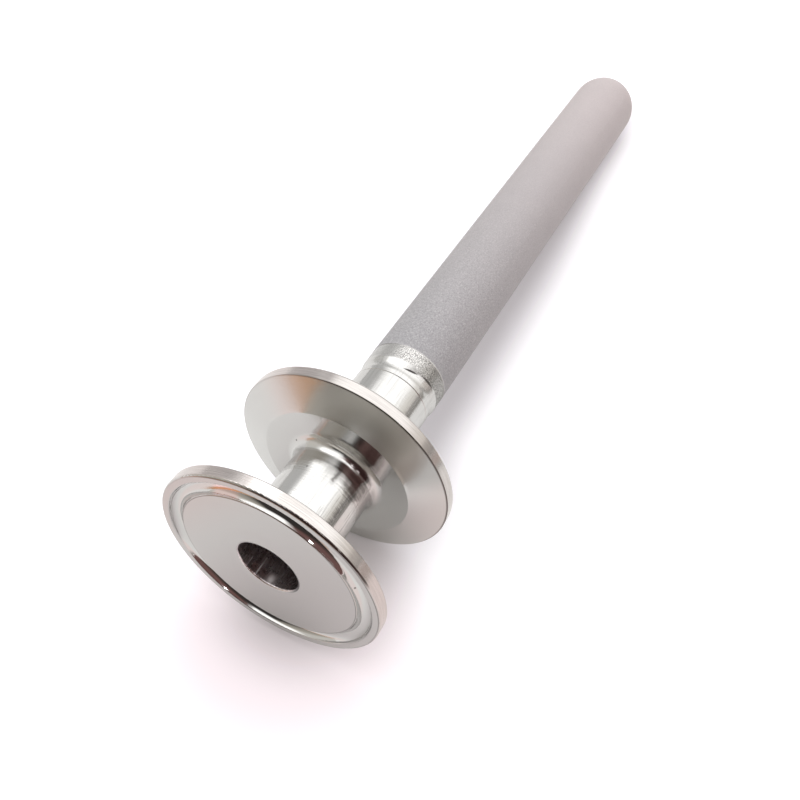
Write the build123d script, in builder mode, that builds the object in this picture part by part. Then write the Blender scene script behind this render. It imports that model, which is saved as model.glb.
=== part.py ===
from build123d import *
import math
import os

# Welded stainless aeration stone, in millimetres. It stands on the gasket face
# of its inlet ferrule, with +Z up along its axis to the stone's domed tip.

# Clamp ferrules, of the 1.5 inch hygienic size
rim_diameter = 50.5
rim_thickness = 2.85
rim_front_radius = 0.5
rim_back_radius = 0.2
back_taper = 20.0
back_land_diameter = 35.0
back_land_edge = 0.2
outer_land_width = 1.85
groove_radius = 1.6
groove_depth = 1.5
groove_lip_radius = 0.25

# Necks, and the gas passage through them
face_spacing = 31.75
neck_diameter = 18.9
neck_root_radius = 2.4
outlet_root_radius = 0.5
outlet_neck_length = 18.35
seam_chamfer = 0.12
bore_diameter = 14.0
bore_lip_radius = 0.4

# Adapter, welded to the outlet neck, that carries the stone
adapter_neck_length = 1.3
hollow_length = 1.2
hollow_depth = 0.13
hollow_blend_radius = 3.0
flare_length = 1.9
flare_blend_radius = 1.5
collar_length = 0.2
pilot_length = 6.0
pilot_clearance = 0.1
pilot_chamfer = 0.5
adapter_bore_diameter = 9.0
adapter_mouth_angle = 30.0

# Sintered stone, a porous tube whose far end is a closed dome
stone_diameter = 19.6
stone_length = 151.3
stone_wall = 3.0
band_length = 4.2
band_relief = 0.05

# Radii and heights that follow from those sizes
rim_radius = rim_diameter / 2
land_radius = back_land_diameter / 2
neck_radius = neck_diameter / 2
bore_radius = bore_diameter / 2
adapter_bore_radius = adapter_bore_diameter / 2
stone_radius = stone_diameter / 2
band_radius = stone_radius - band_relief
cavity_radius = stone_radius - stone_wall
pilot_radius = cavity_radius - pilot_clearance
groove_half_width = math.sqrt(groove_radius**2 - (groove_radius - groove_depth) ** 2)
groove_centre = rim_radius - outer_land_width - groove_half_width
taper_height = (rim_radius - land_radius) * math.tan(math.radians(back_taper))
mouth_depth = (bore_radius - adapter_bore_radius) / math.tan(math.radians(adapter_mouth_angle))
flange_thickness = rim_thickness + taper_height
butt_joint = face_spacing / 2
seam_height = face_spacing + outlet_neck_length
hollow_start = seam_height + adapter_neck_length
hollow_bottom = hollow_start + hollow_length
flare_end = hollow_bottom + flare_length
stone_start = flare_end + collar_length
band_end = stone_start + band_length
pilot_end = stone_start + pilot_length
tip_height = stone_start + stone_length
dome_centre = tip_height - stone_radius


def flange_section(face):
    """Half section of a clamp flange. The plane's origin is the centre of the
    gasket face, and its Y runs from there through the flange to its back."""
    with BuildSketch(face) as section:
        with BuildLine():
            Polyline(
                (0, 0),
                (rim_radius, 0),
                (rim_radius, rim_thickness),
                (land_radius, flange_thickness),
                (0, flange_thickness),
                close=True,
            )
        make_face()

        # Gasket groove, a round section sunk into the face
        with Locations((groove_centre, groove_depth - groove_radius)):
            Circle(groove_radius, mode=Mode.SUBTRACT)

        corners = (
            (rim_radius, 0, rim_front_radius),
            (rim_radius, rim_thickness, rim_back_radius),
            (land_radius, flange_thickness, back_land_edge),
            (groove_centre + groove_half_width, 0, groove_lip_radius),
            (groove_centre - groove_half_width, 0, groove_lip_radius),
        )
        for across, along, edge_radius in corners:
            corner = section.vertices().sort_by_distance((across, along))[0]
            fillet(corner, edge_radius)
    return section.sketch


def rings(part, radius, height):
    """The circular edges of a part that have this radius, at this height."""
    circles = part.edges().filter_by(GeomType.CIRCLE)
    same_size = circles.filter_by(lambda e: abs(e.radius - radius) < 0.001)
    return same_size.filter_by(lambda e: abs(e.arc_center.Z - height) < 0.001)


# Inlet ferrule: a flange whose face is the foot of the part, and the half of the
# short neck that is welded to the mounting ferrule
with BuildPart() as inlet_ferrule:
    revolve(flange_section(Plane.XZ), axis=Axis.Z)
    with BuildSketch(Plane.XY.offset(flange_thickness)):
        Circle(neck_radius)
    extrude(amount=butt_joint - flange_thickness)
    Hole(bore_radius)
    fillet(rings(inlet_ferrule, neck_radius, flange_thickness), neck_root_radius)
    fillet(rings(inlet_ferrule, bore_radius, 0), bore_lip_radius)

# Mounting ferrule: the same flange turned over, with the other half of the short
# neck behind it and the outlet neck standing out of its gasket face
with BuildPart() as mounting_ferrule:
    reversed_face = Plane((0, 0, face_spacing), x_dir=(1, 0, 0), z_dir=(0, 1, 0))
    back_height = face_spacing - flange_thickness
    revolve(flange_section(reversed_face), axis=Axis.Z)
    with BuildSketch(Plane.XY.offset(butt_joint)):
        Circle(neck_radius)
    extrude(amount=seam_height - butt_joint)
    with Locations((0, 0, seam_height)):
        Hole(bore_radius)
    fillet(rings(mounting_ferrule, neck_radius, back_height), neck_root_radius)
    fillet(rings(mounting_ferrule, neck_radius, face_spacing), outlet_root_radius)
    chamfer(rings(mounting_ferrule, neck_radius, seam_height), seam_chamfer)

# Adapter: neck that is dressed slightly hollow and then flares out to the width of
# the stone, and a pilot inside the stone. The gas passage narrows through a
# conical mouth to the pilot's bore
with BuildPart() as stone_adapter:
    with BuildSketch(Plane.XZ) as adapter_section:
        with BuildLine():
            Polyline(
                (bore_radius, seam_height),
                (neck_radius, seam_height),
                (neck_radius, hollow_start),
                (neck_radius - hollow_depth, hollow_bottom),
                (band_radius, flare_end),
                (band_radius, stone_start),
                (pilot_radius, stone_start),
                (pilot_radius, pilot_end),
                (adapter_bore_radius, pilot_end),
                (adapter_bore_radius, seam_height + mouth_depth),
                close=True,
            )
        make_face()
        bends = (
            (neck_radius, hollow_start, hollow_blend_radius),
            (neck_radius - hollow_depth, hollow_bottom, hollow_blend_radius),
            (band_radius, flare_end, flare_blend_radius),
        )
        for across, along, blend_radius in bends:
            bend = adapter_section.vertices().sort_by_distance((across, along))[0]
            fillet(bend, blend_radius)
    revolve(axis=Axis.Z)
    chamfer(rings(stone_adapter, neck_radius, seam_height), seam_chamfer)
    chamfer(rings(stone_adapter, pilot_radius, pilot_end), pilot_chamfer)

# Porous stone: a band ground down beside the weld, the straight tube, and a domed
# end of the same wall
with BuildPart() as porous_stone:
    with BuildSketch(Plane.XZ):
        with BuildLine():
            Polyline(
                (cavity_radius, dome_centre),
                (cavity_radius, stone_start),
                (band_radius, stone_start),
                (band_radius, band_end),
                (stone_radius, band_end),
                (stone_radius, dome_centre),
            )
            CenterArc((0, dome_centre), stone_radius, 0, 90)
            Line((0, tip_height), (0, dome_centre + cavity_radius))
            CenterArc((0, dome_centre), cavity_radius, 0, 90)
        make_face()
    revolve(axis=Axis.Z)

inlet_ferrule.part.label = "inlet_ferrule"
mounting_ferrule.part.label = "mounting_ferrule"
stone_adapter.part.label = "stone_adapter"
porous_stone.part.label = "porous_stone"

os.makedirs("parts", exist_ok=True)
export_step(inlet_ferrule.part, "parts/inlet_ferrule.step")
export_step(mounting_ferrule.part, "parts/mounting_ferrule.step")
export_step(stone_adapter.part, "parts/stone_adapter.step")
export_step(porous_stone.part, "parts/porous_stone.step")
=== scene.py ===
import bpy
import math
from mathutils import Matrix, Vector

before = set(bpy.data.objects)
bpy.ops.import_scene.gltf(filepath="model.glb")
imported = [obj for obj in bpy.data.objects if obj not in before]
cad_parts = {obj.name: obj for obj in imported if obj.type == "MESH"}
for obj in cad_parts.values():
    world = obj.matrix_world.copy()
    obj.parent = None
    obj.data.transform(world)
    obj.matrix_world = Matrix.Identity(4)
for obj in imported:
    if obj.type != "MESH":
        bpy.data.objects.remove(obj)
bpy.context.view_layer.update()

MM = 0.001

# Sizes of the part that the finishes follow, in millimetres
RIM_RADIUS = 25.25
RIM_THICKNESS = 2.85
LAND_RADIUS = 17.5
NECK_RADIUS = 9.45
BORE_RADIUS = 7.0
GROOVE_INNER = 20.2
GROOVE_OUTER = 23.4
INLET_FLANGE_TOP = 5.67
BUTT_JOINT = 15.875
MOUNTING_FLANGE_BOTTOM = 26.08
MOUNTING_FACE = 31.75
SEAM_HEIGHT = 50.1
BAND_START = 54.7
BAND_END = 58.9
TIP_HEIGHT = 206.0

# The photograph's view: a camera that is level from side to side and looks down
# on the table. The part's axis is given by its turn in the picture and its lean
# away from the viewer, and the inlet face by where its centre is from the lens.
FRAME_PX = 800
FOCAL_PX = 880.5
SENSOR_MM = 36.0
CLIP_START, CLIP_END = 0.01, 10
CAMERA_PITCH = math.radians(53.86)
AXIS_TURN = math.radians(54.334)
AXIS_LEAN = math.radians(36.411)
INLET_RIGHT, INLET_DOWN, INLET_AHEAD = -26.03, 32.85, 172.49


def view_to_part():
    """The turn from view directions (right, down, ahead) to the part's frame, and
    the table's upward direction in the view."""
    axis = Vector(
        (
            math.cos(AXIS_LEAN) * math.cos(AXIS_TURN),
            -math.cos(AXIS_LEAN) * math.sin(AXIS_TURN),
            math.sin(AXIS_LEAN),
        )
    )
    up = Vector((0, -math.cos(CAMERA_PITCH), -math.sin(CAMERA_PITCH)))
    lifted = (up - up.dot(axis) * axis).normalized()
    across = axis.cross(lifted)
    x_axis = (lifted + across).normalized()
    y_axis = (across - lifted).normalized()
    return Matrix((x_axis, y_axis, axis)), up


VIEW_TO_PART, UP_IN_VIEW = view_to_part()
TABLE_UP = VIEW_TO_PART @ UP_IN_VIEW
TABLE_RIGHT = VIEW_TO_PART @ Vector((1, 0, 0))
TABLE_AWAY = TABLE_UP.cross(TABLE_RIGHT)


def table_point(right, away, up):
    """A point in the part's frame from metres along the table's directions,
    measured from the origin."""
    return TABLE_RIGHT * right + TABLE_AWAY * away + TABLE_UP * up


def table_direction(turn, rise):
    """A direction by its turn from straight away towards the right, and its rise
    over the table, both in degrees."""
    flat = math.cos(math.radians(rise))
    return table_point(
        flat * math.sin(math.radians(turn)),
        flat * math.cos(math.radians(turn)),
        math.sin(math.radians(rise)),
    )


def lowest_level():
    """The height, along the table's upward direction, of the part's lowest point."""
    heights = [
        vertex.co.dot(TABLE_UP)
        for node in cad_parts.values()
        for vertex in node.data.vertices
    ]
    return min(heights)


TABLE_LEVEL = lowest_level()


class Graph:
    """A short way to write node trees."""

    def __init__(self, tree):
        self.tree = tree
        tree.nodes.clear()

    def node(self, kind, inputs=None, **settings):
        made = self.tree.nodes.new(kind)
        for key, value in settings.items():
            setattr(made, key, value)
        for key, value in (inputs or {}).items():
            self.feed(made.inputs[key], value)
        return made

    def feed(self, socket, value):
        if isinstance(value, bpy.types.NodeSocket):
            self.tree.links.new(value, socket)
        else:
            socket.default_value = value

    def math(self, operation, first, second=0.0, third=0.0, clamp=False):
        made = self.node(
            "ShaderNodeMath",
            {0: first, 1: second, 2: third},
            operation=operation,
            use_clamp=clamp,
        )
        return made.outputs[0]

    def product(self, first, *others):
        for other in others:
            first = self.math("MULTIPLY", first, other)
        return first

    def total(self, first, *others):
        for other in others:
            first = self.math("ADD", first, other)
        return first

    def off(self, value, middle):
        """How far a value is from the middle, to either side."""
        return self.math("ABSOLUTE", self.math("SUBTRACT", value, middle))

    def ramp(self, value, low, high, start=0.0, end=1.0, kind="SMOOTHSTEP"):
        """start below low and end above high, with a smooth change between."""
        made = self.node(
            "ShaderNodeMapRange",
            {"Value": value, "From Min": low, "From Max": high, "To Min": start, "To Max": end},
            interpolation_type=kind,
        )
        return made.outputs["Result"]

    def fall(self, value, low, high):
        """One below low and nought above high."""
        return self.ramp(value, low, high, 1.0, 0.0)

    def band(self, value, low, high, soft):
        """One between low and high, nought outside, with soft edges."""
        return self.product(
            self.ramp(value, low - soft, low + soft), self.fall(value, high - soft, high + soft)
        )

    def mix(self, factor, first, second):
        """A colour between first and second."""
        made = self.node("ShaderNodeMix", data_type="RGBA")
        self.feed(made.inputs[0], factor)
        self.feed(made.inputs[6], first)
        self.feed(made.inputs[7], second)
        return made.outputs[2]

    def noise(self, vector, scale, detail, roughness):
        made = self.node(
            "ShaderNodeTexNoise",
            {"Vector": vector, "Scale": scale, "Detail": detail, "Roughness": roughness},
        )
        return made.outputs["Fac"]

    def vector(self, x, y, z):
        return self.node("ShaderNodeCombineXYZ", {0: x, 1: y, 2: z}).outputs[0]

    def vector_math(self, operation, first, second):
        return self.node("ShaderNodeVectorMath", {0: first, 1: second}, operation=operation)

    def scale(self, vector, factor):
        made = self.node("ShaderNodeVectorMath", {0: vector, "Scale": factor}, operation="SCALE")
        return made.outputs[0]

    def dot(self, first, direction):
        return self.vector_math("DOT_PRODUCT", first, tuple(direction)).outputs["Value"]

    def distance(self, first, second):
        return self.vector_math("DISTANCE", first, second).outputs["Value"]

    def bump(self, relief, strength, depth):
        """A normal that follows this relief, whose depth is in millimetres."""
        made = self.node(
            "ShaderNodeBump", {"Height": relief, "Strength": strength, "Distance": depth * MM}
        )
        return made.outputs[0]


class RoundGraph(Graph):
    """A node tree that knows a point's place in millimetres, its distance from the
    part's axis, its height and its angle about the axis."""

    def __init__(self, tree):
        super().__init__(tree)
        here = self.node("ShaderNodeTexCoord").outputs["Object"]
        self.place = self.scale(here, 1 / MM)
        x, y, self.height = self.node("ShaderNodeSeparateXYZ", {0: self.place}).outputs
        flat = self.node("ShaderNodeVectorMath", {0: self.vector(x, y, 0.0)}, operation="LENGTH")
        self.radius = flat.outputs["Value"]
        self.angle = self.math("ARCTAN2", y, x)

    def patch(self, turn, rise):
        """One inside a range of angle and a range of height, each given by its low
        end, its high end and how soft they are."""
        return self.product(self.band(self.angle, *turn), self.band(self.height, *rise))

    def spot(self, middle, size):
        """One close to this point, in millimetres, and nought beyond its size."""
        return self.fall(self.distance(self.place, middle), size * 0.4, size)

    def lens(self, middle, turn, slant, half_height, half_turn, soft):
        """One inside a lens-shaped mark that runs round the axis, nought outside."""
        off_turn = self.math("SUBTRACT", self.angle, turn)
        share = self.math("DIVIDE", off_turn, half_turn)
        room = self.math("SUBTRACT", 1.0, self.product(share, share))
        line = self.math("MULTIPLY_ADD", off_turn, slant, middle)
        inside = self.math(
            "SUBTRACT", self.product(room, half_height), self.off(self.height, line)
        )
        return self.ramp(inside, 0.0, soft)

    def burnished_crests(self):
        """One on the crests of ground powder, nought in its pores."""
        return self.ramp(self.noise(self.place, *GROUND_CRESTS), 0.42, 0.56)


def new_material(name, graph=Graph):
    material = bpy.data.materials.new(name)
    material.use_nodes = True
    return material, graph(material.node_tree)


# Noises, each by its scale per millimetre, its detail and its roughness
COARSE_LINES = 2.6, 2.0, 0.6
FINE_LINES = 9.0, 2.0, 0.7
AXIAL_STREAKS = 1.9, 4.0, 0.6
STEEL_CLOUD = 0.16, 3.0, 0.6
STEEL_SMUDGE = 0.6, 4.0, 0.6
GROUND_LUMPS = 1.4, 3.0, 0.6
STONE_CLOUD = 0.12, 3.0, 0.6
STONE_POWDER = 2.8, 3.0, 0.7
STONE_GRAIN = 4.2, 3.0, 0.65
GROUND_CRESTS = 4.2, 3.0, 0.8

# How much the tool lines change with the turn, and the streaks with the height
LINES_TURN = 0.35
STREAKS_ALONG = 0.05

# Depth of the bumps, in millimetres
TOOL_LINE_DEPTH = 0.03
GRAIN_DEPTH = 0.12

# Colours of the polished steel: plain, and by area. The face's darker, warmer tint
# and the rim's pinker left side are the steel's colour with painted pinkish
# reflection.
PLAIN_TINTS = (0.63, 0.625, 0.615, 1), (0.615, 0.61, 0.602, 1)
TURNED_BACK_TINT = (0.59, 0.565, 0.52, 1)
FACE_TINT = (0.542, 0.522, 0.515, 1)
RIM_TINT = (0.63, 0.602, 0.585, 1)
LEFT_RIM_TINT = (0.65, 0.592, 0.578, 1)
# A pink patch in the groove, a painted reflection
GROOVE_REFLECTION_TINT = (0.86, 0.69, 0.685, 1)
BORE_TINTS = (0.60, 0.54, 0.54, 1), (0.84, 0.79, 0.80, 1)
BORE_BROWN = (0.52, 0.34, 0.33, 1)
BORE_LIGHT = (0.95, 0.9, 0.9, 1)
FROST_PORES, FROST_CRESTS = (0.17, 0.165, 0.16, 1), (0.52, 0.51, 0.50, 1)

# Colours of wear and marks on it, and of the shade and reflections painted on it
SCRATCH_TINT = (0.95, 0.95, 0.95, 1)
RIM_LINE_TINT = (0.33, 0.30, 0.285, 1)
# Painted shade on the rim, where its reflection is darker
RIM_SHADE_TINT = (0.25, 0.22, 0.215, 1)
# A painted pinkish reflection on the rim
RIM_REFLECTION_TINT = (0.95, 0.82, 0.80, 1)
# Painted shade on one side of the taper, where its reflection is darker
TAPER_SHADE_TINT = (0.05, 0.05, 0.05, 1)
# Dark streaks of wear on the necks, and the wider painted dark reflections on the short one
WORN_AND_REFLECTION_TINT = (0.12, 0.11, 0.105, 1)
# Painted shade where the short neck meets the mounting ferrule
ROOT_SHADE_TINT = (0.06, 0.045, 0.045, 1)
# Painted shade at the lip of the bore
BORE_LIP_SHADE_TINT = (0.03, 0.03, 0.03, 1)
# Painted shade in the sharp corners and edges
CORNER_SHADE_TINT = (0.05, 0.035, 0.03, 1)
# Painted shade in pits, a nick and the low places of the weld
HOLLOW_SHADE_TINT = (0.03, 0.025, 0.025, 1)

# Patches, by their angle about the axis and their height: the low end, the high end
# and how soft they are
LONG_SCRATCH = (2.875, 2.905, 0.015), (0.5, 4.6, 0.2)
SHORT_SCRATCH = (-3.02, -3.0, 0.015), (0.5, 2.7, 0.2)
BORE_LIGHT_PATCH = (2.34, 2.52, 0.1), (0.4, 2.2, 0.9)
BORE_BROWN_PATCH = (2.5, 3.3, 0.2), (0.5, 2.4, 0.6)
# Painted shade on the short neck's left side, below its root
NECK_LEFT_PATCH = (-2.2, -1.5, 0.08), (19.5, 25.0, 1.5)
# Where the painted shade at the root lies
ROOT_SHADE_PATCH = (-0.36, 0.28, 0.08), (24.3, 25.4, 0.3)
FROST_PATCH = (-0.45, 0.9, 0.15), (53.0, BAND_END, 0.1)

# The frosting's lower edge: its height at no turn, and how it rises with the turn
FROST_EDGE, FROST_SLANT = 54.08, 1.9

# Ranges of angle alone, given in the same way
# Where the painted pink reflection in the groove lies
GROOVE_REFLECTION_TURNS = -1.34, -1.04, 0.05
# Where the painted shade on the rim lies
RIM_SHADE_TURNS = (0.0, 0.075, 0.05), (-0.96, -0.88, 0.05)
# Where the painted pink reflection on the rim lies
RIM_REFLECTION_TURNS = 0.14, 0.22, 0.04
# Where the painted shade on the taper lies
TAPER_SHADE_TURNS = 0.05, 0.42, 0.14
FAR_RIM_TURNS = -1.1, 1.3, 0.5
BORE_LIP_TURNS = -1.6, 1.5, 0.4

# Painted dark reflections on the short neck, as streaks. The main one has a middle
# and a half width, each at its lower and its upper height, and the others are ranges
# as above.
MAIN_STREAK_HEIGHTS = 16.5, 21.5
MAIN_STREAK_MIDDLES = 0.09, 0.14
MAIN_STREAK_HALF_WIDTHS = 0.07, 0.30
RIGHT_STREAK_TURNS = 0.58, 1.15, 0.10
SHORT_STREAK_TURNS = -0.41, -0.34, 0.03
SHORT_STREAK_HEIGHTS = 18.6, 22.5, 1.0

# Painted shade as dark lines in the sharp corners and edges, as ranges of height or of radius
FAR_RIM_BACK = 28.80, 29.02, 0.06
NEAR_RIM_BACK = 2.74, 2.92, 0.06
RIM_ROUNDING = 0.10, 0.52, 0.06
RIM_FRONT = 24.78, 25.0, 0.08
GROOVE_LIP = 19.93, 20.08, 0.06
BORE_LIP = BORE_RADIUS - 0.05, BORE_RADIUS + 0.48, 0.06

# Small round pits and a nick in the lip of the groove, painted dark as the shade
# in them: middle, size and share
SPOTS = (
    ((-2.47, -10.81, 25.95), 0.28, 1.0),
    ((4.68, -8.21, 19.29), 0.22, 1.0),
    ((18.9, 8.28, 0.99), 0.3, 0.8),
)

# Places where the weld beside the stone lies low, painted dark as the shadow of its
# step: height and angle of the middle, slant, half height, half turn, softness, and
# share
LOW_PLACES = (
    ((53.27, -0.41, 2.0, 0.36, 0.22, 0.2), 0.95),
    ((54.33, 0.07, 0.9, 0.5, 0.26, 0.4), 0.8),
)

# How rough the polished steel is, and how much more it is in each area
STEEL_ROUGHNESS = 0.11
MORE_ROUGHNESS = {
    "rim": 0.04,
    "neck": -0.03,
    "groove": -0.05,
    "bore": 0.14,
    "turned_back": 0.27,
    "taper": 0.09,
    "dressed": 0.14,
    "root": 0.06,
    "scratch": 0.35,
    "light_patch": 0.25,
    "seam": 0.2,
    "smudge": 0.05,
    "frosted": 0.12,
}


def steel_areas(g):
    """Where each area and mark of the polished steel lies: one inside it, and nought
    outside, apart from the smudges, which are everywhere."""
    face = g.fall(g.height, 0.05, 0.3)
    bore = g.fall(g.radius, BORE_RADIUS + 0.02, BORE_RADIUS + 0.3)
    neck = g.band(g.radius, NECK_RADIUS - 0.5, NECK_RADIUS + 0.6, 0.3)
    neck = g.product(neck, g.math("SUBTRACT", 1.0, face))
    scratches = g.math("MAXIMUM", g.patch(*LONG_SCRATCH), g.patch(*SHORT_SCRATCH))
    frost_edge = g.math("MULTIPLY_ADD", g.angle, FROST_SLANT, FROST_EDGE)
    above_edge = g.math("SUBTRACT", g.height, frost_edge)
    return {
        "face": face,
        "bore": bore,
        "neck": neck,
        "rim": g.ramp(g.radius, RIM_RADIUS - 0.12, RIM_RADIUS - 0.02),
        "groove": g.product(
            g.band(g.radius, GROOVE_INNER, GROOVE_OUTER, 0.1),
            g.band(g.height, 0.01, 1.8, 0.02),
        ),
        "turned_back": g.product(
            g.band(g.height, 3.0, INLET_FLANGE_TOP + 0.1, 0.1),
            g.ramp(g.radius, NECK_RADIUS + 0.8, NECK_RADIUS + 2.0),
        ),
        "taper": g.product(
            g.band(g.height, MOUNTING_FLANGE_BOTTOM + 0.1, MOUNTING_FACE - RIM_THICKNESS, 0.1),
            g.ramp(g.radius, LAND_RADIUS, LAND_RADIUS + 1.0),
        ),
        "short_neck": g.band(g.height, INLET_FLANGE_TOP, MOUNTING_FLANGE_BOTTOM, 0.5),
        "root": g.product(
            g.ramp(g.off(g.height, BUTT_JOINT), 7.8, 8.6),
            g.band(g.radius, NECK_RADIUS + 0.05, NECK_RADIUS + 1.8, 0.1),
            g.fall(g.height, MOUNTING_FACE - 2, MOUNTING_FACE),
        ),
        "seam": g.product(neck, g.band(g.height, SEAM_HEIGHT - 0.14, SEAM_HEIGHT + 0.14, 0.03)),
        "dressed": g.product(neck, g.band(g.height, SEAM_HEIGHT + 1.0, BAND_START + 0.5, 0.4)),
        "frosted": g.product(g.ramp(above_edge, 0.0, 0.25), g.patch(*FROST_PATCH)),
        "scratch": g.product(scratches, bore),
        "light_patch": g.product(g.patch(*BORE_LIGHT_PATCH), bore),
        "smudge": g.noise(g.place, *STEEL_SMUDGE),
    }


def steel_grain(g):
    """The noises that the polished steel's finishes share."""
    # Tool lines run along the section and hardly change with the turn
    lines_at = g.vector(g.radius, g.product(g.angle, LINES_TURN), g.height)
    coarse = g.noise(lines_at, *COARSE_LINES)
    fine = g.noise(lines_at, *FINE_LINES)

    # Streaks run along the axis, and the tool lines break up their edges
    axial = g.vector_math("MULTIPLY", g.place, (1.0, 1.0, STREAKS_ALONG)).outputs[0]
    plain_streaks = g.noise(axial, *AXIAL_STREAKS)
    broken = g.math("MULTIPLY_ADD", fine, 0.3, -0.15)
    return {
        "coarse": coarse,
        "fine": fine,
        "lines": g.math("MULTIPLY_ADD", fine, 0.3, coarse),
        "plain_streaks": plain_streaks,
        "streaks": g.math("MULTIPLY_ADD", broken, 0.8, plain_streaks),
        "broken_angle": g.math("ADD", g.angle, broken),
    }


def steel_relief(g, areas, grain):
    """Tool lines, deepest on the rims and necks, and lumps on what was ground."""
    depth = g.math("MULTIPLY_ADD", areas["rim"], 0.3, 0.08)
    depth = g.math("MULTIPLY_ADD", areas["neck"], 0.45, depth)
    lumps = g.noise(g.place, *GROUND_LUMPS)
    return g.total(
        g.product(grain["lines"], depth),
        g.product(areas["dressed"], lumps, 0.9),
        g.product(areas["root"], lumps, 0.5),
    )


def neck_wear_and_dark_reflections(g, areas, grain):
    """How worn the necks are, with dark reflections painted on them: thin dark streaks
    of wear all round, and on the short one three wider painted dark reflections, of
    which the first widens towards the mounting ferrule, and a patch of painted shade."""
    streaky = g.math("MULTIPLY_ADD", g.ramp(g.angle, -0.45, 0.1), 0.3, 0.02)
    streaky = g.math("MULTIPLY_ADD", areas["short_neck"], streaky, 0.12)
    thin = g.product(g.ramp(grain["streaks"], 0.52, 0.64), streaky)

    middle = g.ramp(g.height, *MAIN_STREAK_HEIGHTS, *MAIN_STREAK_MIDDLES)
    half_width = g.ramp(g.height, *MAIN_STREAK_HEIGHTS, *MAIN_STREAK_HALF_WIDTHS)
    outside = g.math("SUBTRACT", g.off(grain["broken_angle"], middle), half_width)
    crossed = g.ramp(grain["coarse"], 0.36, 0.60, 0.30, 0.66)
    wide = g.total(
        g.product(g.fall(outside, -0.06, 0.06), crossed),
        g.product(g.band(grain["broken_angle"], *RIGHT_STREAK_TURNS), 0.4),
        g.product(
            g.band(grain["broken_angle"], *SHORT_STREAK_TURNS),
            g.band(g.height, *SHORT_STREAK_HEIGHTS),
            0.95,
        ),
        g.product(g.patch(*NECK_LEFT_PATCH), 0.4),
    )
    wide = g.math("MULTIPLY", wide, areas["short_neck"], clamp=True)
    return g.product(areas["neck"], g.math("MAXIMUM", thin, wide))


def area_layers(g, areas, grain):
    """The colours of the areas, each as its place, its colour and its share. The face's
    warmer tint, the rim's pinker left side and the pink patch in the groove carry
    painted pinkish reflection.
    """
    left_side = g.fall(g.angle, -1.2, -0.8)
    groove_reflection = g.product(
        areas["groove"],
        g.band(g.angle, *GROOVE_REFLECTION_TURNS),
        g.ramp(g.radius, 21.3, 21.8, 0.9, 0.0),
    )
    bore_tint = g.mix(g.ramp(grain["plain_streaks"], 0.36, 0.64), *BORE_TINTS)
    bore_tint = g.mix(g.product(g.patch(*BORE_BROWN_PATCH), 0.7), bore_tint, BORE_BROWN)
    bore_tint = g.mix(areas["light_patch"], bore_tint, BORE_LIGHT)
    return (
        (areas["turned_back"], TURNED_BACK_TINT, 1.0),
        # The face's darker, warmer tint is partly painted pinkish reflection
        (areas["face"], FACE_TINT, 1.0),
        # The rim's left side is pinker, a painted pinkish reflection
        (areas["rim"], g.mix(left_side, RIM_TINT, LEFT_RIM_TINT), 1.0),
        # The painted pink reflection in the groove
        (groove_reflection, GROOVE_REFLECTION_TINT, 1.0),
        (areas["bore"], bore_tint, 1.0),
    )


def wear_and_painted_light_layers(g, areas, grain):
    """Scratches in the bore, lines on the rims, painted shade and a painted pink
    reflection on the rims, a painted darker reflection on the taper, the wear and
    painted dark reflections of the necks, and painted shade at the root. Each is its
    place, its colour and its share."""
    rim_shade = g.math("MAXIMUM", *(g.band(g.angle, *turns) for turns in RIM_SHADE_TURNS))
    rim_reflection = g.band(g.angle, *RIM_REFLECTION_TURNS)
    taper_shade = g.band(g.angle, *TAPER_SHADE_TURNS)
    rim_lines = g.ramp(grain["fine"], 0.40, 0.62, 0.0, 0.35)
    return (
        (areas["scratch"], SCRATCH_TINT, 1.0),
        (g.product(areas["rim"], rim_lines), RIM_LINE_TINT, 1.0),
        (g.product(areas["rim"], rim_shade), RIM_SHADE_TINT, 0.5),
        (g.product(areas["rim"], rim_reflection), RIM_REFLECTION_TINT, 0.8),
        (g.product(areas["taper"], taper_shade), TAPER_SHADE_TINT, 0.28),
        (neck_wear_and_dark_reflections(g, areas, grain), WORN_AND_REFLECTION_TINT, 1.0),
        # Painted shade at the root
        (g.product(areas["root"], g.patch(*ROOT_SHADE_PATCH)), ROOT_SHADE_TINT, 0.75),
    )


def corner_shade_layers(g, areas):
    """Shade painted as dark lines in the sharp corners, as place, colour and share: the
    lip of the bore, the back edges of the rims, most on one side of the far one, the
    front edge and rounding of the inlet's rim, where it also dims a lamp's highlight,
    and the lip of its groove."""
    bore_lip = g.product(
        g.band(g.radius, *BORE_LIP),
        g.band(g.angle, *BORE_LIP_TURNS),
        g.fall(g.height, 1.0, 2.0),
    )
    far_side = g.band(g.angle, *FAR_RIM_TURNS)
    rounding = g.product(
        g.ramp(g.angle, -0.7, -0.25),
        g.fall(g.angle, 0.23, 0.35),
        g.ramp(g.radius, 24.8, 24.9),
    )
    front_edge = g.ramp(g.angle, -1.6, -1.1, 0.15, 0.6)
    lines = (
        (g.band(g.height, *FAR_RIM_BACK), g.math("MULTIPLY_ADD", far_side, 0.7, 0.15)),
        (g.band(g.height, *NEAR_RIM_BACK), 0.5),
        (g.band(g.radius, *RIM_FRONT), g.product(areas["face"], front_edge)),
        (g.band(g.radius, *GROOVE_LIP), g.product(areas["face"], 0.7)),
        (g.band(g.height, *RIM_ROUNDING), g.product(rounding, 0.82)),
    )
    outer = g.ramp(g.radius, 19.7, 19.8)
    return (
        (bore_lip, BORE_LIP_SHADE_TINT, 0.85),
        *((g.product(line, outer), CORNER_SHADE_TINT, share) for line, share in lines),
    )


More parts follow.
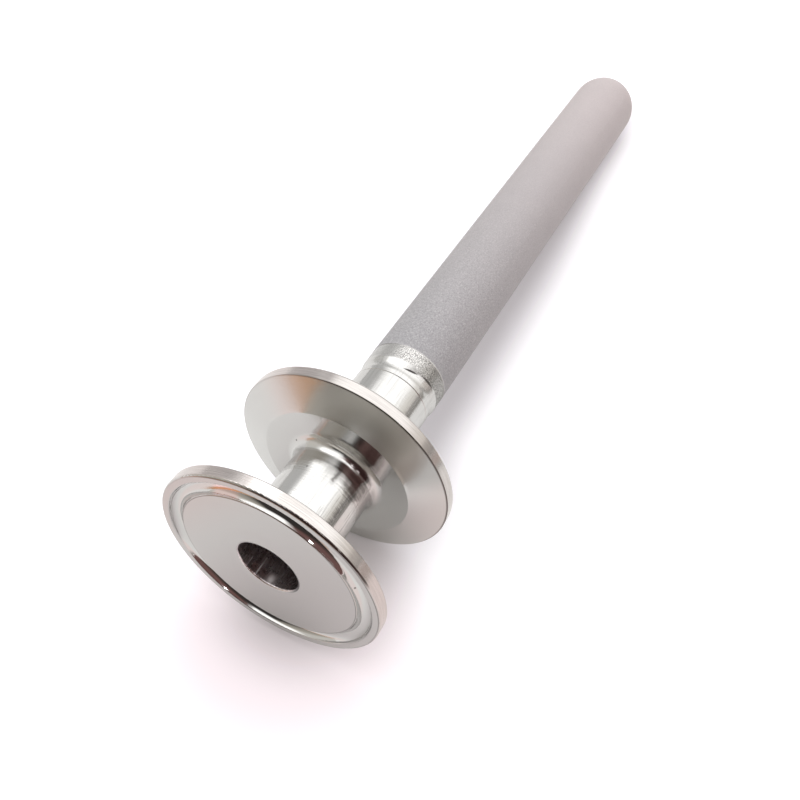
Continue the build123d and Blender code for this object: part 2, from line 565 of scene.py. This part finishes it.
def mark_layers(g, areas):
    """Frosting beside the weld to the stone, and the shade painted in pits, a nick and
    low places in that weld. Each is its place, its colour and its share."""
    frost_tint = g.mix(g.burnished_crests(), FROST_PORES, FROST_CRESTS)
    return (
        (areas["frosted"], frost_tint, 1.0),
        *((g.spot(middle, size), HOLLOW_SHADE_TINT, share) for middle, size, share in SPOTS),
        *((g.lens(*shape), HOLLOW_SHADE_TINT, share) for shape, share in LOW_PLACES),
    )


def polished_steel():
    """Turned and polished stainless steel: bright tapers and lands, a satin rim,
    fine circular tool lines and a dull bore."""
    material, g = new_material("polished_steel_finish", RoundGraph)
    areas = steel_areas(g)
    grain = steel_grain(g)

    roughness = STEEL_ROUGHNESS
    for area, more in MORE_ROUGHNESS.items():
        roughness = g.math("MULTIPLY_ADD", areas[area], more, roughness)

    tint = g.mix(g.noise(g.place, *STEEL_CLOUD), *PLAIN_TINTS)
    layers = (
        *area_layers(g, areas, grain),
        *wear_and_painted_light_layers(g, areas, grain),
        *corner_shade_layers(g, areas),
        *mark_layers(g, areas),
    )
    for where, colour, share in layers:
        tint = g.mix(g.product(where, share), tint, colour)

    tangent = g.node("ShaderNodeTangent", direction_type="RADIAL", axis="Z").outputs[0]
    shader = g.node(
        "ShaderNodeBsdfPrincipled",
        {
            "Base Color": tint,
            "Metallic": 1.0,
            "Roughness": roughness,
            "Normal": g.bump(steel_relief(g, areas, grain), 1.0, TOOL_LINE_DEPTH),
            "Anisotropic": 0.5,
            "Anisotropic Rotation": 0.25,
            "Tangent": tangent,
        },
    )
    g.node("ShaderNodeOutputMaterial", {"Surface": shader.outputs[0]})
    return material


# Colours of the sintered steel: its body beside the weld and at the tip, each from
# one cloudy place to the next, and the light and dark of its grain. The tip's are
# lighter and warmer, partly the stone's own tone and partly painted light.
COOL_TINTS = (0.435, 0.43, 0.45, 1), (0.40, 0.395, 0.415, 1)
WARM_TINTS = (0.665, 0.605, 0.61, 1), (0.605, 0.55, 0.56, 1)
LIGHT_GRAIN, DARK_GRAIN = (0.95, 0.94, 0.93, 1), (0.10, 0.095, 0.095, 1)

# How plain the grain is beside the weld and further on, and the length over which
# it fades
GRAIN_NEAR, GRAIN_FAR, GRAIN_FADE = 0.28, 0.07, 90

# Colours of the dressed band: its pores and crests, each on the lit side and on
# the side in painted shade, its plain side in painted shade, and the line at its end
BAND_PORES = (0.22, 0.21, 0.205, 1), (0.12, 0.115, 0.11, 1)
BAND_CRESTS = (0.82, 0.81, 0.80, 1), (0.52, 0.51, 0.495, 1)
BAND_PLAIN_SHADE = (0.50, 0.495, 0.49, 1)
BAND_LINE = (0.85, 0.84, 0.83, 1)

# The finish of the sintered steel, and what its band and the band's polish add
SINTERED_ROUGHNESS, BAND_ROUGHNESS, POLISH_ROUGHNESS = 0.74, -0.34, -0.22
SINTERED_METALLIC, BAND_METALLIC = 0.45, 0.55


def sintered_steel():
    """Matt sintered powder with a fine grain, and a dressed band beside the weld
    whose crests are burnished."""
    material, g = new_material("sintered_steel_finish", RoundGraph)
    band = g.fall(g.height, BAND_END - 0.06, BAND_END + 0.06)
    plain_shaded_side = g.ramp(g.angle, -1.25, -0.75, 0.75, 0.0)
    band_line = g.product(
        g.band(g.height, BAND_END - 0.12, BAND_END + 0.16, 0.08),
        g.math("MULTIPLY_ADD", plain_shaded_side, -1.3, 1.0),
    )

    # The body: grey beside the weld and lighter and warmer towards the tip, partly
    # its own tone and partly painted light, with its grain plainest beside the weld
    powder = g.noise(g.place, *STONE_POWDER)
    cloud = g.noise(g.place, *STONE_CLOUD)
    along = g.ramp(g.height, BAND_END, TIP_HEIGHT, kind="LINEAR")
    body_tint = g.mix(along, g.mix(cloud, *COOL_TINTS), g.mix(cloud, *WARM_TINTS))
    plain_grain = g.ramp(g.height, BAND_END, BAND_END + GRAIN_FADE, GRAIN_NEAR, GRAIN_FAR)
    body_tint = g.mix(g.product(g.ramp(powder, 0.50, 0.68), plain_grain), body_tint, LIGHT_GRAIN)
    body_tint = g.mix(g.product(g.fall(powder, 0.32, 0.50), plain_grain), body_tint, DARK_GRAIN)

    # The band: burnished crests between dark pores, darker on one side and plain grey
    # on the other by painted shade, and a bright line at its end
    crests = g.burnished_crests()
    shaded_side = g.band(g.angle, -0.3, 2.2, 0.5)
    band_tint = g.mix(crests, g.mix(shaded_side, *BAND_PORES), g.mix(shaded_side, *BAND_CRESTS))
    band_tint = g.mix(plain_shaded_side, band_tint, BAND_PLAIN_SHADE)
    tint = g.mix(band, body_tint, band_tint)
    tint = g.mix(g.product(band_line, 0.6), tint, BAND_LINE)

    polish = g.math("MAXIMUM", g.product(band, crests), band_line)
    roughness = g.math("MULTIPLY_ADD", band, BAND_ROUGHNESS, SINTERED_ROUGHNESS)
    roughness = g.math("MULTIPLY_ADD", polish, POLISH_ROUGHNESS, roughness)
    shader = g.node(
        "ShaderNodeBsdfPrincipled",
        {
            "Base Color": tint,
            "Metallic": g.math("MULTIPLY_ADD", band, BAND_METALLIC, SINTERED_METALLIC),
            "Roughness": roughness,
            "Normal": g.bump(g.noise(g.place, *STONE_GRAIN), 0.5, GRAIN_DEPTH),
        },
    )
    g.node("ShaderNodeOutputMaterial", {"Surface": shader.outputs[0]})
    return material


def finish_nodes():
    steel = polished_steel()
    finishes = {
        "inlet_ferrule": steel,
        "mounting_ferrule": steel,
        "stone_adapter": steel,
        "porous_stone": sintered_steel(),
    }
    for name, material in finishes.items():
        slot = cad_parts[name].material_slots[0]
        slot.link = "OBJECT"
        slot.material = material


# Stage: a white sheet under the part, seen from above only. It has a painted pinkish
# shade round the inlet, both in its own colour and in how it glows, and it is dark
# where the part stands close over it.
FLOOR_SIZE = 3.0
FLOOR_COLOUR = (0.72, 0.70, 0.745, 1)
PINK_SHADE_COLOUR = (0.72, 0.675, 0.705, 1)
NEAR_GLOW = (0.09, 0.093, 0.09, 1)
PINK_SHADE_GLOW = (0.432, 0.386, 0.406, 1)
OPEN_GLOW = (0.50, 0.505, 0.505, 1)
CAST_RIGHT, CAST_AWAY = 0.001, 0.0
CAST_INNER, CAST_OUTER = 0.018, 0.037

# How far from the line under the axis the floor is in the part's shade, at the
# inlet, along the stone and at the tip, and where along that line these change, all
# in metres. The deepest shade has the inner share of that distance.
INLET_SHADE, STONE_SHADE, TIP_SHADE = 0.029, 0.0195, 0.0145
LINE_START = 0.012
STONE_FROM, STONE_TO = 0.035, 0.065
TIP_FROM, TIP_TO = 0.12, 0.18
DEEP_SHARE = 0.3

# How the sheet looks in metal: its brightness beside what the camera sees, its
# colour, and the pinkish one that it has on the near side of the inlet, to the left
# and to the right of a place a little left of the origin
MIRRORED_SHARE = 0.56
MIRRORED_COLOUR = (0.715, 0.715, 0.71, 1)
MIRRORED_CAST = (0.735, 0.635, 0.62, 1)
PINK_LEFT_OF, PINK_FROM, PINK_FULL = 0.008, 0.022, 0.042
PINK_NEARER_THAN = 0.03


def seen_or_mirrored(g):
    """One for the camera's rays, and less for those that metal and glass send on."""
    rays = g.node("ShaderNodeLightPath").outputs
    mirrored = g.math("MAXIMUM", rays["Is Glossy Ray"], rays["Is Transmission Ray"])
    return g.math("MAXIMUM", rays["Is Camera Ray"], g.product(mirrored, MIRRORED_SHARE))


def in_the_open(g, here):
    """One on the floor away from the part, nought in its shade, by the distance
    from the line that lies under the axis."""
    flat_axis = Vector((0, 0, 1)) - TABLE_UP * TABLE_UP.z
    reach = flat_axis.length * TIP_HEIGHT * MM
    aim = flat_axis.normalized()
    along = g.math("MAXIMUM", g.dot(here, aim), LINE_START)
    along = g.math("MINIMUM", along, reach)
    above_foot = g.vector_math("SUBTRACT", here, tuple(TABLE_UP * TABLE_LEVEL)).outputs[0]
    aside = g.distance(above_foot, g.scale(tuple(aim), along))
    shade = g.ramp(along, STONE_FROM, STONE_TO, INLET_SHADE, STONE_SHADE)
    lost = g.ramp(along, TIP_FROM, TIP_TO, 0.0, STONE_SHADE - TIP_SHADE)
    shade = g.math("SUBTRACT", shade, lost)
    return g.ramp(g.math("DIVIDE", aside, shade), DEEP_SHARE, 1.0)


def to_either_side(g, here):
    """One on the near part of the floor to the left and to the right of the inlet,
    where metal sees the sheet pinkish."""
    aside = g.off(g.dot(here, TABLE_RIGHT), -PINK_LEFT_OF)
    near = g.fall(g.dot(here, TABLE_AWAY), 0.0, PINK_NEARER_THAN)
    return g.product(near, g.ramp(aside, PINK_FROM, PINK_FULL))


def floor_material():
    material, g = new_material("white_sheet")
    here = g.node("ShaderNodeTexCoord").outputs["Object"]
    cast_middle = tuple(table_point(CAST_RIGHT, CAST_AWAY, TABLE_LEVEL))
    cast = g.fall(g.distance(here, cast_middle), CAST_INNER, CAST_OUTER)
    glow = g.mix(in_the_open(g, here), NEAR_GLOW, g.mix(cast, OPEN_GLOW, PINK_SHADE_GLOW))
    seen = g.node("ShaderNodeLightPath").outputs["Is Camera Ray"]
    mirrored = g.mix(to_either_side(g, here), MIRRORED_COLOUR, MIRRORED_CAST)
    colour = g.mix(seen, mirrored, g.mix(cast, FLOOR_COLOUR, PINK_SHADE_COLOUR))
    matt = g.node("ShaderNodeBsdfDiffuse", {"Color": colour})
    light = g.node("ShaderNodeEmission", {"Color": glow, "Strength": seen_or_mirrored(g)})
    sheet = g.node("ShaderNodeAddShader", {0: matt.outputs[0], 1: light.outputs[0]})
    unseen = g.node("ShaderNodeBsdfTransparent")
    behind = g.node("ShaderNodeNewGeometry").outputs["Backfacing"]
    both = g.node(
        "ShaderNodeMixShader", {0: behind, 1: sheet.outputs[0], 2: unseen.outputs[0]}
    )
    g.node("ShaderNodeOutputMaterial", {"Surface": both.outputs[0]})
    return material


def lay_sheet(name, left, right, near, far, lift, material):
    """A flat sheet on the table, between these places in metres."""
    corners = [(left, near), (right, near), (right, far), (left, far)]
    mesh = bpy.data.meshes.new(name)
    mesh.from_pydata(
        [table_point(x, y, TABLE_LEVEL + lift) for x, y in corners], [], [(0, 1, 2, 3)]
    )
    mesh.materials.append(material)
    sheet = bpy.data.objects.new(name, mesh)
    bpy.context.scene.collection.objects.link(sheet)
    return sheet


# Two darker cards beside the part that only the steel sees. Each has a name, the
# places of its left, right, near and far edges in metres, the name of its material,
# a colour, and the directions in which it fades in, from the first distance to the
# second.
CARD_LIFT = 0.001
CARDS = (
    (
        "left_card",
        (-0.9, -0.06, -0.7, 0.05),
        "brown_card",
        (0.66, 0.38, 0.21, 1),
        ((table_point(-0.70, -0.71, 0), 0.06, 0.17), (-TABLE_AWAY, -0.05, 0.05)),
    ),
    (
        "right_card",
        (0.12, 0.9, -0.5, 0.3),
        "grey_card",
        (0.34, 0.33, 0.31, 1),
        ((TABLE_RIGHT, 0.12, 0.24),),
    ),
)


def card_material(name, colour, fades):
    """A matt card that fades in along each of the directions given."""
    material, g = new_material(name)
    here = g.node("ShaderNodeTexCoord").outputs["Object"]
    shown = g.product(*(g.ramp(g.dot(here, aim), start, end) for aim, start, end in fades))
    matt = g.node("ShaderNodeBsdfDiffuse", {"Color": colour})
    unseen = g.node("ShaderNodeBsdfTransparent")
    both = g.node("ShaderNodeMixShader", {0: shown, 1: unseen.outputs[0], 2: matt.outputs[0]})
    g.node("ShaderNodeOutputMaterial", {"Surface": both.outputs[0]})
    return material


def make_floor():
    half = FLOOR_SIZE / 2
    lay_sheet("floor", -half, half, -half, half, 0, floor_material())
    for name, edges, material_name, colour, fades in CARDS:
        material = card_material(material_name, colour, fades)
        card = lay_sheet(name, *edges, CARD_LIFT, material)
        card.visible_camera = False
        card.visible_diffuse = False
        card.visible_shadow = False


# The room round the table, by its turn from straight away towards the right in
# degrees: the colour near the horizon, and the rise at which the ceiling starts
ROOM = (
    (-180, (0.06, 0.045, 0.04), 68),
    (-160, (0.045, 0.04, 0.038), 63),
    (-128, (0.05, 0.045, 0.042), 62),
    (-116, (0.44, 0.41, 0.36), 62),
    (-100, (0.55, 0.51, 0.45), 59),
    (-88, (0.79, 0.76, 0.71), 50),
    (-60, (0.77, 0.75, 0.70), 40),
    (-30, (0.65, 0.645, 0.635), 36),
    (0, (0.62, 0.615, 0.60), 36),
    (40, (0.86, 0.84, 0.80), 33),
    (70, (1.00, 0.96, 0.90), 26),
    (101, (1.00, 0.95, 0.88), 25),
    (110, (0.22, 0.12, 0.11), 58),
    (120, (0.20, 0.105, 0.10), 74),
    (150, (0.22, 0.12, 0.11), 76),
    (180, (0.06, 0.045, 0.04), 68),
)
CEILING = (1.72, 1.71, 1.69, 1)
CEILING_FADE = math.radians(11)

# A darker strip along the horizon under the window: its colour, the rises between
# which it fades, and the turns where it starts and ends, with how soft they are
SILL_COLOUR = (0.46, 0.43, 0.41, 1)
SILL_RISES = math.radians(3), math.radians(7)
SILL_TURNS = math.radians(30), math.radians(100), math.radians(10)

WHITE = (1, 1, 1, 1)


def turn_ramp(g, turn, stops):
    """A colour that changes with the turn, through these stops."""
    made = g.node("ShaderNodeValToRGB", {0: g.math("MULTIPLY_ADD", turn, 1 / math.tau, 0.5)})
    elements = made.color_ramp.elements
    while len(elements) < len(stops):
        elements.new(0.5)
    for element, (degrees, colour) in zip(elements, stops):
        element.position = degrees / 360 + 0.5
        element.color = (*colour, 1)
    return made.outputs[0]


def make_world():
    """A pale room: bright overhead and at a window on the right, greyer towards the
    horizon, dark and brownish on the viewer's side. The camera sees it white."""
    world = bpy.data.worlds.new("studio")
    world.use_nodes = True
    bpy.context.scene.world = world
    g = Graph(world.node_tree)
    direction = g.node("ShaderNodeTexCoord").outputs["Generated"]
    turn = g.math("ARCTAN2", g.dot(direction, TABLE_RIGHT), g.dot(direction, TABLE_AWAY))
    rise = g.math("ARCSINE", g.dot(direction, TABLE_UP))
    walls = turn_ramp(g, turn, [(degrees, colour) for degrees, colour, start in ROOM])
    starts = [(degrees, (math.radians(start),) * 3) for degrees, colour, start in ROOM]
    above = g.math("SUBTRACT", rise, turn_ramp(g, turn, starts))
    tint = g.mix(g.ramp(above, -CEILING_FADE, CEILING_FADE), walls, CEILING)
    sill = g.product(g.fall(g.math("ABSOLUTE", rise), *SILL_RISES), g.band(turn, *SILL_TURNS))
    tint = g.mix(sill, tint, SILL_COLOUR)
    rays = g.node("ShaderNodeLightPath").outputs
    seen = g.math("MAXIMUM", rays["Is Camera Ray"], rays["Is Transmission Ray"])
    tint = g.mix(seen, tint, WHITE)
    shader = g.node("ShaderNodeBackground", {"Color": tint, "Strength": 1.0})
    g.node("ShaderNodeOutputWorld", {"Surface": shader.outputs[0]})


# The lamps: name, turn and rise in degrees, distance and size in metres, power
LAMPS = (
    ("overhead_softbox", -62, 65, 0.45, 0.3, 0.25),
    ("high_lamp", 141, 47, 0.8, 0.05, 0.25),
    ("low_lamp", 128, 30, 0.8, 0.05, 0.18),
)


def make_lamp(name, turn, rise, distance, size, power):
    """A square lamp that faces the stone's middle."""
    middle = Vector((0, 0, (BAND_END + TIP_HEIGHT) / 2 * MM))
    place = middle + table_direction(turn, rise) * distance
    light = bpy.data.lights.new(name, "AREA")
    light.size = size
    light.energy = power
    lamp = bpy.data.objects.new(name, light)
    lamp.rotation_mode = "QUATERNION"
    lamp.rotation_quaternion = (middle - place).to_track_quat("-Z", "Y")
    lamp.location = place
    bpy.context.scene.collection.objects.link(lamp)


def make_camera():
    lens = bpy.data.cameras.new("camera")
    lens.sensor_width = SENSOR_MM
    lens.lens = FOCAL_PX / FRAME_PX * SENSOR_MM
    lens.clip_start = CLIP_START
    lens.clip_end = CLIP_END
    camera = bpy.data.objects.new("camera", lens)
    inlet = Vector((INLET_RIGHT, INLET_DOWN, INLET_AHEAD)) * MM
    place = VIEW_TO_PART @ -inlet
    right, down, ahead = VIEW_TO_PART.col
    turned = Matrix((right, -down, -ahead)).transposed()
    camera.matrix_world = Matrix.Translation(place) @ turned.to_4x4()
    bpy.context.scene.collection.objects.link(camera)
    bpy.context.scene.camera = camera


bpy.context.scene.view_settings.view_transform = "Standard"
make_camera()
make_floor()
make_world()
for lamp in LAMPS:
    make_lamp(*lamp)
finish_nodes()
